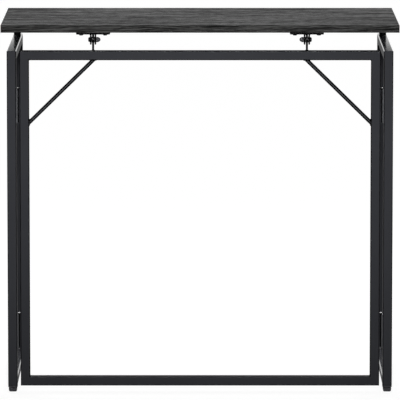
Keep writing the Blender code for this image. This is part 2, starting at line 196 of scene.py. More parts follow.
def gloss_layer(tree, facing, level_gloss):
    """Full on level faces, thin on upright ones, with some kept on those that look sideways."""
    normal = add_node(tree, "ShaderNodeNewGeometry").outputs["Normal"]
    up = add_node(tree, "ShaderNodeSeparateXYZ", {"Vector": normal}).outputs["Z"]
    level = stretch(tree, up, *GLOSS_TURN, UPRIGHT_GLOSS, level_gloss)
    sideways = stretch(tree, facing["X"], *SIDE_TURN, 0.0, SIDE_GLOSS)
    return larger(tree, level, sideways)


def satin_powder_coat(name, dark, light, edge=None, level_gloss=LEVEL_GLOSS, turn=PAINTED_EDGE_SHADE_TURN):
    """A coat between two blacks. Edge, if given, is painted shade: the colour of its rolled corners."""
    made, tree, shader = new_material(name, Roughness=MATT_ROUGH, Specular_IOR_Level=0.0)
    where, facing = own_place(tree), own_facing(tree)
    cloud = noise(tree, where, COAT_CLOUD, CLOUD_DETAIL)
    colour = tinted(tree, cloud, dark, light)
    sheen = stretch(tree, cloud, 0.0, 1.0, *FLAT_ROUGH)
    # Painted shade: the rolled corners take the darker edge colour, and their coat is also smoother.
    if edge:
        flat = flatness(tree, facing, turn)
        colour = tinted(tree, flat, edge, colour)
        sheen = blend(tree, flat, EDGE_ROUGH, sheen)
    layer = gloss_layer(tree, facing, level_gloss)
    peel = relief(tree, noise(tree, where, PEEL_WAVE, PEEL_DETAIL), PEEL_HEIGHT, PEEL_RELIEF)
    drive(tree, shader, Base_Color=colour, Coat_Weight=layer, Coat_Roughness=sheen, Coat_Normal=peel)
    return made


# The frame coats paint shade into their rolled corners with the edge colour.
painted_edge_shade_steel = satin_powder_coat("black_powder_coat", "3b3c40", "424347", edge="0a0a0b")
back_painted_edge_shade_steel = satin_powder_coat("black_back_coat_painted_edge_shade", "393a3e", "404145", edge="0a0a0b", level_gloss=0.15)
# The rod coat paints a highlight as a lighter core, and near-black painted shade along the rod's sides.
rod_painted_light_steel = satin_powder_coat(
    "black_rod_painted_light_coat", "4e4f53", "56575b", edge="020202", level_gloss=0.1, turn=ROD_PAINTED_SHADE_TURN
)
# The fitting coat is darker than the frame's black: painted shade for fittings under the board and in the
# hinge gaps.
fitting_painted_shade_steel = satin_powder_coat("black_fitting_painted_shade_coat", "050505", "0a0a0b", level_gloss=0.2)
# The coat for the leg hinge leaves is a lighter copy of the black: a painted highlight.
hinge_painted_highlight_steel = satin_powder_coat("hinge_painted_highlight_coat", "606164", "68696c")
print("5 powder coats with waves of", PEEL_WAVE / MM, "mm")

# %% [markdown]
# ## Black oak melamine
#
# The board is particle board under a melamine paper printed and pressed with oak grain. Oak shows several
# sizes of figure: broad bands of darker wood, shorter flakes of tone within them, the fine lines of the
# year rings, and short dark pores. All of them run along the board's length, so each noise is drawn out
# along the grain by a Mapping node: a line that is two millimetres wide runs on for a hand's length. The
# press also embosses the lines, so the fine ones feed the bump. The board's print has long soft streaks
# with many short pores. The edge bands have finer lines and pores that run at a slight slant. A band's
# paper is printed along the roll, so on the two short ends the grain runs along Y.

# %% Wood-grain print
PAPER_ROUGH = 0.8
PRINT_GLOSS = 0.08
PRINT_ROUGH = (0.56, 0.44)
EMBOSS = 0.06 * MM
PORE_LEVELS = (0.52, 0.44)
# Detail and distortion of the noise for each size of figure.
BAND_NOISE = (4, 0.4)
FLAKE_NOISE = (3, 0.6)
LINE_NOISE = (5, 0.8)
PORE_NOISE = (1, 0.0)


def grain_space(tree, along, slant):
    """Object coordinates with the grain's own direction first. Along is 0 for X or 1 for Y."""
    turn = (0, slant, -along * math.pi / 2)
    inputs = {"Vector": own_place(tree), "Rotation": turn}
    return add_node(tree, "ShaderNodeMapping", inputs).outputs["Vector"]


def figure(tree, where, size, detail, distortion):
    """One size of figure: a noise drawn out along the grain."""
    length, width = size
    scale = (1 / length, 1 / width, 1 / width)
    drawn = add_node(tree, "ShaderNodeMapping", {"Vector": where, "Scale": scale}).outputs["Vector"]
    return noise(tree, drawn, 1, detail, distortion)


def oak_print(
    name, tones, bands, flakes, lines, pores, line_share, spread, pore_depth, along=0, slant=0.0
):
    """A print in a dark, a light and a pore tone. A size of figure is a length and a width."""
    dark, light, pore = tones
    constants = {"Roughness": PAPER_ROUGH, "Specular_IOR_Level": 0.0, "Coat_Weight": PRINT_GLOSS}
    made, tree, shader = new_material(name, **constants)
    where = grain_space(tree, along, slant)
    fine = figure(tree, where, lines, *LINE_NOISE)
    band, flake = figure(tree, where, bands, *BAND_NOISE), figure(tree, where, flakes, *FLAKE_NOISE)
    tone = blend(tree, line_share, blend(tree, 0.5, band, flake), fine)
    grain = stretch(tree, tone, 0.5 - spread, 0.5 + spread)
    pits = stretch(tree, figure(tree, where, pores, *PORE_NOISE), *PORE_LEVELS, 0.0, pore_depth)
    wood = tinted(tree, pits, tinted(tree, grain, dark, light), pore)
    sheen = stretch(tree, fine, *NOISE_SPAN, *PRINT_ROUGH)
    drive(tree, shader, Base_Color=wood, Coat_Roughness=sheen, Coat_Normal=relief(tree, fine, EMBOSS))
    return made


oak = oak_print(
    "black_oak_melamine",
    ("080808", "7a7a7a", "080808"),
    bands=(260 * MM, 24 * MM),
    flakes=(50 * MM, 6 * MM),
    lines=(120 * MM, 2 * MM),
    pores=(14 * MM, 1.8 * MM),
    line_share=0.35,
    spread=0.066,
    pore_depth=0.8,
)
edge_oaks = [
    oak_print(
        f"black_oak_{run}_band",
        ("0c0c0c", "585857", "0a0a0a"),
        bands=(170 * MM, 2.0 * MM),
        flakes=(110 * MM, 1.6 * MM),
        lines=(40 * MM, 1.2 * MM),
        pores=(28 * MM, 0.9 * MM),
        line_share=0.3,
        spread=0.028,
        pore_depth=0.5,
        along=along,
        slant=math.radians(2.5),
    )
    for along, run in enumerate(("long", "end"))
]
print("oak prints:", oak.name, "and", [m.name for m in edge_oaks])

# %% [markdown]
# ## Plastic, rubber, nickel and zinc
#
# The feet are moulded polypropylene with a spark-eroded skin, a matt grit of about half a millimetre. The
# post caps are soft black rubber with almost no gloss. The domed nuts are dark nickel plate, a true metal
# with faint buffing marks. The hinge pins are bright zinc, and the screws and bolts are black zinc, a dark
# metal with an uneven bloom. One function makes them all: a grit noise for the bump, and a cloud that
# shifts colour and roughness. Only the numbers differ.

# %% Small-part finishes
GRIT = 0.6 * MM
GRIT_DETAIL = 1
BLOOM = 6 * MM
BLOOM_DETAIL = 2


def small_finish(name, dark, light, gloss, metallic, grit_height, shine=0.5):
    """A finish between two colours and two roughnesses."""
    made, tree, shader = new_material(name, Metallic=metallic, Specular_IOR_Level=shine)
    where = own_place(tree)
    cloud = noise(tree, where, BLOOM, BLOOM_DETAIL)
    colour = tinted(tree, cloud, dark, light)
    sheen = stretch(tree, cloud, *NOISE_SPAN, *gloss)
    grit = relief(tree, noise(tree, where, GRIT, GRIT_DETAIL), grit_height)
    drive(tree, shader, Base_Color=colour, Roughness=sheen, Normal=grit)
    return made


plastic = small_finish("moulded_polypropylene", "404044", "48484c", (0.5, 0.6), 0, 0.05 * MM, shine=0.2)
rubber = small_finish("black_rubber", "1c1c1d", "232324", (0.75, 0.9), 0, 0.04 * MM, shine=0.05)
nickel = small_finish("nickel_plate", "4c4d50", "58585a", (0.26, 0.34), 1, 0.004 * MM)
bright_zinc = small_finish("bright_zinc_plate", "c6c6c8", "d4d4d4", (0.22, 0.3), 1, 0.004 * MM)
black_zinc = small_finish("black_zinc_plate", "18181a", "222224", (0.35, 0.5), 1, 0.008 * MM)
print("small finishes:", [m.name for m in (plastic, rubber, nickel, bright_zinc, black_zinc)])

# %% [markdown]
# ## Tools for shapes
#
# Most pieces are a block with its edges rounded, or a profile turned about an axis. A block is a unit cube
# stretched to a node's own box, so nothing has to be measured twice. A turned piece is a line of points
# spun once round. The last tool turns the finished bmesh into an object at the origin, shades it smooth
# with sharp edges kept, weights the normals so that flat faces stay flat beside a rounded edge, gives it
# its finish, hangs it on the empty of the body that carries it, and hides the nodes it stands for.

# %% Shape tools
ROUND_STEPS = 5
SPIN_STEPS = 48
SHARP = math.radians(38)
PARALLEL = 0.999
NEAR = 0.01 * MM
MERGE = 0.001 * MM


def block(low, high):
    """A box between two corners."""
    bm = bmesh.new()
    bmesh.ops.create_cube(bm, size=1)
    size = high - low
    bmesh.ops.scale(bm, vec=size, verts=bm.verts)
    bmesh.ops.translate(bm, vec=low + size / 2, verts=bm.verts)
    return bm


def round_over(bm, parts, radius, steps=ROUND_STEPS, affect="EDGES"):
    """Rounds edges, or the corners of a flat face where the parts are vertices."""
    bmesh.ops.bevel(
        bm,
        geom=list(parts),
        offset=radius,
        offset_type="OFFSET",
        segments=steps,
        profile=0.5,
        affect=affect,
        material=-1,
        clamp_overlap=True,
    )


def edges_along(bm, axis):
    """The edges that run along X, Y or Z, by its number."""
    found = []
    for edge in bm.edges:
        run = edge.verts[1].co - edge.verts[0].co
        if abs(run[axis]) > PARALLEL * run.length:
            found.append(edge)
    return found


def sharp_edges(bm):
    return [e for e in bm.edges if e.is_manifold and e.calc_face_angle(0) > SHARP]


def extruded(bm, face, keep=False):
    """Extrudes a face where it lies and gives the new one. The old one goes, unless it is kept as a cap."""
    grown = bmesh.ops.extrude_face_region(bm, geom=[face], use_keep_orig=keep)["geom"]
    if not keep:
        bmesh.ops.delete(bm, geom=[face], context="FACES_ONLY")
    return next(g for g in grown if isinstance(g, bmesh.types.BMFace))


def turned(profile, steps=SPIN_STEPS):
    """A line of (radius, height) points spun about Z. Points on the axis close into poles."""
    bm = bmesh.new()
    verts = [bm.verts.new((radius, 0, height)) for radius, height in profile]
    edges = [bm.edges.new(pair) for pair in zip(verts, verts[1:])]
    bmesh.ops.spin(
        bm, geom=verts + edges, cent=(0, 0, 0), axis=(0, 0, 1), angle=math.tau, steps=steps, use_merge=True
    )
    bmesh.ops.remove_doubles(bm, verts=bm.verts, dist=MERGE)
    bmesh.ops.recalc_face_normals(bm, faces=bm.faces)
    return bm


def put(bm, where, turn=None):
    """Turns a shape about the origin, then moves it to its place."""
    if turn is not None:
        bmesh.ops.transform(bm, matrix=turn, verts=bm.verts)
    bmesh.ops.translate(bm, vec=where, verts=bm.verts)
    return bm


def joined(shapes):
    """Several shapes in one bmesh."""
    whole = bmesh.new()
    for shape in shapes:
        mesh = bpy.data.meshes.new("shape")
        shape.to_mesh(mesh)
        shape.free()
        whole.from_mesh(mesh)
        bpy.data.meshes.remove(mesh)
    return whole


print("edges sharper than", round(math.degrees(SHARP)), "degrees stay sharp")


# %% Finishing a piece
def finish_piece(name, bm, looks, body, nodes=()):
    """Makes a shape into a piece on a body. Looks is a material, or several by material index."""
    bmesh.ops.recalc_face_normals(bm, faces=bm.faces)
    mesh = bpy.data.meshes.new(f"{name}_look")
    bm.to_mesh(mesh)
    bm.free()
    mesh.shade_smooth()
    mesh.set_sharp_from_angle(angle=SHARP)
    if isinstance(looks, bpy.types.Material):
        looks = [looks]
    for look in looks:
        mesh.materials.append(look)
    piece = bpy.data.objects.new(f"{name}_look", mesh)
    bpy.context.collection.objects.link(piece)
    weighted = piece.modifiers.new("Flat faces stay flat", "WEIGHTED_NORMAL")
    weighted.keep_sharp = True
    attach(piece, body)
    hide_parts(*nodes)


print("ready to dress", len(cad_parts), "nodes")

# %% [markdown]
# ## Square tubes
#
# Each frame is cut from 19 mm square tube. A tube's corners are rolled to a radius of about 2 mm, and that
# radius is what catches the light along every edge. A tube is a block with its four long edges rounded,
# and where two tubes meet at a corner each is cut off along the mitre plane, as a saw does it. The ends
# are filled, because welds and feet close them on the real frame.

# %% Tube tools
TUBE_CORNER = 2 * MM


def frame_box(nodes):
    """The box round several nodes."""
    corners = [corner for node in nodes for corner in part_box(node)]
    return Vector(map(min, *corners)), Vector(map(max, *corners))


def cut_off(bm, point, normal, fill):
    """Cuts off what lies beyond a plane, and merges the points that the cut leaves in one place."""
    parts = bm.verts[:] + bm.edges[:] + bm.faces[:]
    cut = bmesh.ops.bisect_plane(bm, geom=parts, plane_co=point, plane_no=normal, clear_outer=True)
    if fill:
        rim = [e for e in cut["geom_cut"] if isinstance(e, bmesh.types.BMEdge)]
        bmesh.ops.edgenet_fill(bm, edges=rim)
    bmesh.ops.remove_doubles(bm, verts=bm.verts, dist=NEAR)


def square_tube(node, axis, body, frame_corners=None, mitres=()):
    """A tube along an axis. A mitre is a (corner point, normal) that cuts what lies beyond it."""
    low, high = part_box(node)
    if frame_corners:
        low[axis], high[axis] = frame_corners[0][axis], frame_corners[1][axis]
    bm = block(low, high)
    round_over(bm, edges_along(bm, axis), TUBE_CORNER)
    for corner, normal in mitres:
        cut_off(bm, corner, normal, fill=True)
    look = back_painted_edge_shade_steel if body == "back_frame" else painted_edge_shade_steel
    finish_piece(node, bm, look, body, [node])


print("tube corners", TUBE_CORNER / MM, "mm")

# %% Tubes of the three frames
SIDES = (("left", -1), ("right", 1))
BACK = ("back_top_rail", "back_bottom_rail", "back_left_post", "back_right_post")
MITRED = ("rear_leg", "front_leg", "top_rail")


def back_tubes(box):
    """Two rails and two posts, mitred at the frame's four corners."""
    for level, up in (("bottom", -1), ("top", 1)):
        ends = [((box[sign > 0].x, 0, box[up > 0].z), (sign, 0, -up)) for _, sign in SIDES]
        square_tube(f"back_{level}_rail", 0, "back_frame", box, ends)
    for side, sign in SIDES:
        ends = [((box[sign > 0].x, 0, box[up > 0].z), (-sign, 0, up)) for up in (-1, 1)]
        square_tube(f"back_{side}_post", 2, "back_frame", box, ends)


def side_tubes(side, box):
    """Two legs and a rail mitred into an upside-down U, with a lower rail between the legs."""
    body = f"{side}_side_frame"
    top = box[1].z
    ends = [((0, box[way > 0].y, top), (0, way, -1)) for way in (-1, 1)]
    square_tube(f"{side}_top_rail", 1, body, box, ends)
    for leg, way in (("rear_leg", -1), ("front_leg", 1)):
        square_tube(f"{side}_{leg}", 2, body, box, [((0, box[way > 0].y, top), (0, -way, 1))])
    square_tube(f"{side}_bottom_rail", 1, body)


back_box = frame_box(BACK)
side_boxes = {side: frame_box([f"{side}_{tube}" for tube in MITRED]) for side, _ in SIDES}
back_tubes(back_box)
for side, box in side_boxes.items():
    side_tubes(side, box)
print("12 tubes, back frame", [round(v / MM, 1) for v in back_box[1] - back_box[0]], "mm")

# %% [markdown]
# ## Weld beads
#
# Every joint of the frame is a short bead of weld under the coat. A bead is a row of frozen ripples, each
# laid over the one before. It could be a chain of small spheres, but one skin is lighter: a circle is
# extruded step by step along the joint, and every second ring is drawn in. A bead round a post is the
# same thing spun. Beads sit half inside the metal on both sides, so they also close the hairline between
# two solids.

# %% Weld bead tools
BEAD = 1.6 * MM
RIPPLE = 1.3 * MM
BEAD_SIDES = 10
BEAD_END = 0.55
BEAD_VALLEY = 0.82
RING_SWELL = 0.12


def straight_bead(start, end, radius):
    """A rippled bead between two points."""
    start, end = Vector(start), Vector(end)
    run = end - start
    turn = run.to_track_quat("Z", "Y").to_matrix().to_4x4()
    bm = bmesh.new()
    made = bmesh.ops.create_circle(bm, cap_ends=True, radius=radius * BEAD_END, segments=BEAD_SIDES)
    face = made["verts"][0].link_faces[0]
    steps = max(3, round(run.length / RIPPLE) | 1)
    widths = [radius * (BEAD_VALLEY if step % 2 else 1) for step in range(steps - 1)]
    for step, width in enumerate(widths + [radius * BEAD_END]):
        face = extruded(bm, face, keep=step == 0)
        bmesh.ops.translate(bm, verts=face.verts, vec=(0, 0, run.length / steps))
        centre = face.calc_center_median()
        share = width / (face.verts[0].co - centre).length
        about = Matrix.Translation(-centre)
        bmesh.ops.scale(bm, verts=face.verts, vec=(share, share, 1), space=about)
    return put(bm, start, turn)


def ring_bead(centre, ring_radius, radius):
    """A rippled bead round an upright rod."""
    arc = [math.tau * i / BEAD_SIDES for i in range(BEAD_SIDES + 1)]
    bm = turned([(ring_radius + radius * math.cos(a), radius * math.sin(a)) for a in arc])
    ripples = round(math.tau * ring_radius / RIPPLE / 2)
    for vert in bm.verts:
        angle = math.atan2(vert.co.y, vert.co.x)
        swell = 1 + RING_SWELL * math.sin(ripples * angle)
        spine = Vector((math.cos(angle), math.sin(angle), 0)) * ring_radius
        vert.co = spine + (vert.co - spine) * swell
    return put(bm, centre)


print("bead radius", BEAD / MM, "mm, ripples every", RIPPLE / MM, "mm")

# %% [markdown]
# ## Welds in the frame corners
#
# The outside of each mitre is ground flat before coating, so it shows nothing. Inside the corner the
# grinder can't reach, and a bead stays across the tube's width. The lower side rails are butted against
# the legs, with a bead across the top and one on each side.

# %% Corner welds
BEAD_MARGIN = 2.5 * MM
CORNER_BEAD = 0.8 * BEAD
RAIL_BEAD = 0.7 * BEAD
tube_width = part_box("back_left_post")[1].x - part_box("back_left_post")[0].x


def back_corner_beads():
    (x0, y0, z0), (x1, y1, z1) = back_box
    beads = []
    for x in (x0 + tube_width, x1 - tube_width):
        for z in (z0 + tube_width, z1 - tube_width):
            ends = (x, y0 + BEAD_MARGIN, z), (x, y1 - BEAD_MARGIN, z)
            beads.append(straight_bead(*ends, CORNER_BEAD))
    return joined(beads)


def side_corner_beads(side):
    (x0, y0, _), (x1, y1, z1) = side_boxes[side]
    rail_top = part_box(f"{side}_bottom_rail")[1].z
    low, high = rail_top - tube_width + BEAD_MARGIN, rail_top - BEAD_MARGIN
    beads = []
    for y in (y0 + tube_width, y1 - tube_width):
        for z in (z1 - tube_width, rail_top):
            ends = (x0 + BEAD_MARGIN, y, z), (x1 - BEAD_MARGIN, y, z)
            beads.append(straight_bead(*ends, CORNER_BEAD))
        for x in (x0 + BEAD / 2, x1 - BEAD / 2):
            beads.append(straight_bead((x, y, low), (x, y, high), RAIL_BEAD))
    return joined(beads)


finish_piece("back_frame_welds", back_corner_beads(), back_painted_edge_shade_steel, "back_frame")
for side, _ in SIDES:
    finish_piece(f"{side}_frame_welds", side_corner_beads(side), painted_edge_shade_steel, f"{side}_side_frame")
print("welds in 4 corners of the back frame and 4 of each side frame")

# %% [markdown]
# ## Corner braces
#
# A brace is an 8 mm rod at 45 degrees between post and rail. It is a turned bar that runs a little into
# both tubes, so its ends need no careful cut, with a small bead round each end where it meets the tube.
# The rod's slanting cut is an oval, so the bead is a ring drawn out to fit.

# %% Corner braces
BRACE_RADIUS = 4 * MM
BRACE_SINK = 3 * MM
BRACE_BEAD = 0.75 * BEAD
SLANT = math.sqrt(2)
X_AXIS = Matrix.Rotation(math.pi / 2, 4, "Y")


def middle(node):
    """The middle of a node's box."""
    low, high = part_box(node)
    return (low + high) / 2


def corner_brace(node, sign):
    low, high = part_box(node)
    y = middle(node).y
    half = BRACE_RADIUS * SLANT
    outer, inner = (high.x, low.x) if sign > 0 else (low.x, high.x)
    foot = Vector((outer, y, low.z + half))
    head = Vector((inner + sign * half, y, high.z))
    run = head - foot
    length = run.length + 2 * BRACE_SINK
    profile = [(0, 0), (BRACE_RADIUS, 0), (BRACE_RADIUS, length), (0, length)]
    turn = run.to_track_quat("Z", "Y").to_matrix().to_4x4()
    shapes = [put(turned(profile), foot - run.normalized() * BRACE_SINK, turn)]
    for point, lay, oval in ((foot, X_AXIS, (1, 1, SLANT)), (head, None, (SLANT, 1, 1))):
        ring = put(ring_bead((0, 0, 0), BRACE_RADIUS, BRACE_BEAD), (0, 0, 0), lay)
        bmesh.ops.scale(ring, vec=oval, verts=ring.verts)
        shapes.append(put(ring, point))
    return joined(shapes)


for side, sign in SIDES:
    node = f"{side}_corner_brace"
    # The rod coat paints a highlight down the brace and shade along its sides.
    finish_piece(node, corner_brace(node, sign), rod_painted_light_steel, "back_frame", [node])
print("2 braces of", 2 * BRACE_RADIUS / MM, "mm rod")

# %% [markdown]
# ## Hinge lugs
#
# A lug is a tab of 4 mm plate that stands on the back rail and carries the board's bolt. Its outline is a
# round eye with two sides that run down to a foot. It starts as a disc: the lower half is cut away, and
# the straight edge that is left is extruded down to the rail and scaled to the foot's width. The flat
# sheet is then given its thickness and its edges are eased, as a tumbled laser part is.

# %% Hinge lugs
EASE = 0.4 * MM
EASE_STEPS = 2
LUG_BACK = 3.5 * MM
LUG_FRONT = 15.5 * MM
LUG_BEAD = 0.8 * BEAD


def tab(radius, drop, foot_width, thickness, foot_shift=0.0):
    """A tab in the YZ plane, centred on its eye, with its foot a drop below. X is its thickness."""
    bm = bmesh.new()
    bmesh.ops.create_circle(bm, cap_ends=True, radius=radius, segments=SPIN_STEPS)
    bmesh.ops.transform(bm, matrix=X_AXIS, verts=bm.verts)
    cut_off(bm, (0, 0, 0), (0, 0, -1), fill=False)
    base = [e for e in bm.edges if all(abs(v.co.z) < NEAR for v in e.verts)]
    grown = bmesh.ops.extrude_edge_only(bm, edges=base)["geom"]
    foot = [v for v in grown if isinstance(v, bmesh.types.BMVert)]
    bmesh.ops.scale(bm, verts=foot, vec=(1, foot_width / (2 * radius), 1))
    bmesh.ops.translate(bm, verts=foot, vec=(0, foot_shift, -drop))
    bmesh.ops.solidify(bm, geom=bm.faces[:], thickness=thickness)
    xs = [v.co.x for v in bm.verts]
    bmesh.ops.translate(bm, verts=bm.verts, vec=(-(min(xs) + max(xs)) / 2, 0, 0))
    bmesh.ops.recalc_face_normals(bm, faces=bm.faces)
    round_over(bm, sharp_edges(bm), EASE, EASE_STEPS)
    return bm


def hinge_lug(side):
    low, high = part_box(f"{side}_hinge_lug")
    axis = middle(f"{side}_hinge_bolt")
    back_face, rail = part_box("back_top_rail")[0].y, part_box("back_top_rail")[1].z
    centre = Vector(((low.x + high.x) / 2, axis.y, axis.z))
    foot_back, foot_front = back_face + LUG_BACK, back_face + LUG_FRONT
    shift = (foot_back + foot_front) / 2 - axis.y
    drop = axis.z - rail + EASE
    shapes = [put(tab(high.z - axis.z, drop, foot_front - foot_back, high.x - low.x, shift), centre)]
    for x in (low.x, high.x):
        shapes.append(straight_bead((x, foot_back, rail), (x, foot_front, rail), LUG_BEAD))
    return joined(shapes)


for side, _ in SIDES:
    node = f"{side}_hinge_lug"
    # The lug takes the fitting coat, darkened as painted shade.
    finish_piece(node, hinge_lug(side), fitting_painted_shade_steel, "back_frame", [node])
print("2 lugs, eased", EASE / MM, "mm")

# %% [markdown]
# ## Butt hinges
#
# Four steel butt hinges hold the side frames, each shut in the gap between a post and a leg. A leaf is a
# strip of sheet rolled into knuckles at one edge, and the knuckles of two leaves alternate round a pin. A
# leaf here is an eased strip with short turned barrels, all in one piece but with two looks: the barrels
# are painted near black as painted shade in the gap, and the strip is as dark as the back frame on the
# post, and lighter on the leg as a painted highlight. A bead runs up the leg's leaf, and the pin's rounded
# head shows on top. The two leaves ride on different bodies, so the hinge really opens.

# %% Hinge tools
KNUCKLES = 5
KNUCKLE_EASE = 0.35 * MM
KNUCKLE_GAP = 0.1 * MM
LEAF_SHEET = 1.5 * MM
LEAF_REACH = 0.3
LEAF_BEAD = 1.4 * MM
PIN_SHANK = 1.5 * MM
PIN_DOME = 1.2 * MM
PIN_STEPS = 24
DOME_ANGLES = (0, 0.5, 1.0, 1.4)
HEAD_ROOM = 1.5 * MM


def barrel(radius, low, high, centre):
    """A short turned barrel with its rims eased."""
    rim, first, last = radius - KNUCKLE_EASE, low + KNUCKLE_EASE, high - KNUCKLE_EASE
    profile = [(0, low), (rim, low), (radius, first), (radius, last), (rim, high), (0, high)]
    return put(turned(profile), centre)


def hinge_leaf(node, pin, face_x, first):
    """A leaf on the tube face at face_x, with every second knuckle from the first on."""
    low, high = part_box(node)
    pin_low, pin_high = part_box(pin)
    axis = middle(pin)
    axis.z = 0
    radius = high.y - axis.y
    way = 1 if axis.x > face_x else -1
    sheet_low, sheet_high = low.copy(), high.copy()
    sheet_low.x, sheet_high.x = sorted((face_x, face_x + way * LEAF_SHEET))
    sheet_high.y = axis.y + radius * LEAF_REACH
    strip = block(sheet_low, sheet_high)
    round_over(strip, strip.edges, EASE / 2, EASE_STEPS)
    shapes = [strip]
    pitch = (pin_high.z - pin_low.z - HEAD_ROOM) / KNUCKLES
    for number in range(first, KNUCKLES, 2):
        base = min(low.z, pin_low.z) + number * pitch
        knuckle = barrel(radius, base + KNUCKLE_GAP, base + pitch, axis)
        # The barrels take the second look: the fitting coat, darkened as painted shade in the hinge gap.
        for face in knuckle.faces:
            face.material_index = 1
        shapes.append(knuckle)
    return joined(shapes)


def leaf_bead(node, face_x, way):
    """The bead that runs up a leaf's outer edge."""
    low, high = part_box(node)
    x, y = face_x + way * LEAF_BEAD, low.y + LEAF_BEAD
    return straight_bead((x, y, low.z), (x, y, high.z), LEAF_BEAD)


def hinge_pin(node):
    low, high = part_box(node)
    centre = middle(node)
    head, length = (high.x - low.x) / 2, high.z - low.z
    shoulder = length - PIN_DOME
    dome = [(head * math.cos(a), shoulder + PIN_DOME * math.sin(a)) for a in DOME_ANGLES]
    profile = [(0, 0), (PIN_SHANK, 0), (PIN_SHANK, shoulder)] + dome + [(0, length)]
    return put(turned(profile, PIN_STEPS), (centre.x, centre.y, low.z))


print("knuckle gap", KNUCKLE_GAP / MM, "mm")

# %% Butt hinges
# Post leaves keep the back frame's coat, leg leaves get a painted highlight, and both have barrels in
# painted shade.
POST_LOOKS_PAINTED_SHADE = (back_painted_edge_shade_steel, fitting_painted_shade_steel)
LEG_LOOKS_PAINTED_LIGHT = (hinge_painted_highlight_steel, fitting_painted_shade_steel)

for side, sign in SIDES:
    post_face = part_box(f"back_{side}_post")[sign > 0].x
    leg_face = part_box(f"{side}_rear_leg")[sign < 0].x
    for level in ("upper", "lower"):
        pin = f"{side}_{level}_hinge_pin"
        post_leaf, leg_leaf = f"{side}_{level}_post_leaf", f"{side}_{level}_leg_leaf"
        shape = hinge_leaf(post_leaf, pin, post_face, 0)
        finish_piece(post_leaf, shape, POST_LOOKS_PAINTED_SHADE, "back_frame", [post_leaf])
        shape = joined([hinge_leaf(leg_leaf, pin, leg_face, 1), leaf_bead(leg_leaf, leg_face, -sign)])
        finish_piece(leg_leaf, shape, LEG_LOOKS_PAINTED_LIGHT, f"{side}_side_frame", [leg_leaf])
        finish_piece(pin, hinge_pin(pin), bright_zinc, "back_frame", [pin])
print("4 hinges of", KNUCKLES, "knuckles")

# %% [markdown]
# ## Feet
#
# A foot is a moulded plug with a collar as wide as the tube, a groove under it, and a base that tapers to
# the floor. A square with rounded corners is the section all the way up, so the shape is that one face,
# extruded and scaled step by step. The steps follow the photograph: taper, belly, groove, collar.

# %% Feet
CORNER = 2 * MM
# Widths and heights at the floor, in mm.
FLOOR_STEPS = ((12.4, 0), (14.4, 0.5))
# How much narrower than the tube, and heights. The belly's are from the floor, the rest from the leg's end.
BELLY_STEPS = ((3.2, 2), (2.4, 3.6))
GROOVE_STEPS = ((2.0, -5.6), (2.4, -5.2), (8.0, -5.1), (8.0, -3.2))
COLLAR_STEPS = ((0.6, -3.1), (0.1, -2.8), (0.1, -1.3), (0.6, -0.9), (3.6, -0.7), (3.6, 0.5))


def square_stack(steps):
    """A rounded square extruded through (width, height) steps from the first one up."""
    bm = bmesh.new()
    width, height = steps[0]
    made = bmesh.ops.create_circle(bm, cap_ends=True, radius=width / math.sqrt(2), segments=4)
    bmesh.ops.rotate(bm, verts=bm.verts, matrix=Matrix.Rotation(math.pi / 4, 3, "Z"))
    bmesh.ops.translate(bm, verts=bm.verts, vec=(0, 0, height))
    round_over(bm, made["verts"], CORNER, affect="VERTICES")
    face = bm.faces[:][0]
    for number, (next_width, next_height) in enumerate(steps[1:]):
        face = extruded(bm, face, keep=number == 0)
        bmesh.ops.translate(bm, verts=face.verts, vec=(0, 0, next_height - height))
        share = next_width / width
        bmesh.ops.scale(bm, verts=face.verts, vec=(share, share, 1))
        width, height = next_width, next_height
    return bm


def foot_shape(node, leg):
    low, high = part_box(node)
    leg_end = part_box(leg)[0].z
    wide = high.x - low.x
    steps = [(width * MM, height * MM) for width, height in FLOOR_STEPS]
    steps += [(wide - less * MM, height * MM) for less, height in BELLY_STEPS]
    steps += [(wide - less * MM, leg_end + height * MM) for less, height in GROOVE_STEPS + COLLAR_STEPS]
    centre = middle(node)
    return put(square_stack(steps), (centre.x, centre.y, 0))


for side, _ in SIDES:
    for end in ("rear", "front"):
        node = f"{side}_{end}_foot"
        shape = foot_shape(node, f"{side}_{end}_leg")
        finish_piece(node, shape, plastic, f"{side}_side_frame", [node])
print("4 feet")

# %% [markdown]
# ## Support posts
#
# A peg on each side rail carries the board. It is turned steel with a rubber cap pushed over a spigot, and
# a bead of weld holds it to the rail. Both are spun profiles, the cap with a soft round rim. The spigot is
# hidden in the cap, so the peg ends where the cap starts.

# %% Support posts
PEG_EASE = 0.3 * MM
PEG_BEAD = 0.7 * BEAD
CAP_ROUND = 1.2 * MM
RIM_ANGLES = (0, 0.4, 0.8, 1.2, math.pi / 2)


def peg_profile(radius, length):
    shoulder = length - PEG_EASE
    return [(0, 0), (radius, 0), (radius, shoulder), (radius - PEG_EASE, length), (0, length)]


def cap_profile(radius, length):
    inner, shoulder = radius - CAP_ROUND, length - CAP_ROUND
    rim = [(inner + CAP_ROUND * math.cos(a), shoulder + CAP_ROUND * math.sin(a)) for a in RIM_ANGLES]
    return [(0, 0), (radius - PEG_EASE, 0), (radius, PEG_EASE)] + rim + [(0, length)]


for side, _ in SIDES:
    body = f"{side}_side_frame"
    post, cap = f"{side}_support_post", f"{side}_post_cap"
    low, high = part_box(post)
    cap_low, cap_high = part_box(cap)
    radius = (high.x - low.x) / 2
    seat = middle(post)
    seat.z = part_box(f"{side}_top_rail")[1].z
    peg = put(turned(peg_profile(radius, cap_low.z - seat.z)), seat)
    weld = ring_bead(seat, radius, PEG_BEAD)
    finish_piece(post, joined([peg, weld]), painted_edge_shade_steel, body, [post])
    profile = cap_profile((cap_high.x - cap_low.x) / 2, cap_high.z - cap_low.z)
    rubber_cap = put(turned(profile), (seat.x, seat.y, cap_low.z))
    finish_piece(cap, rubber_cap, rubber, body, [cap])
print("2 support posts with caps")

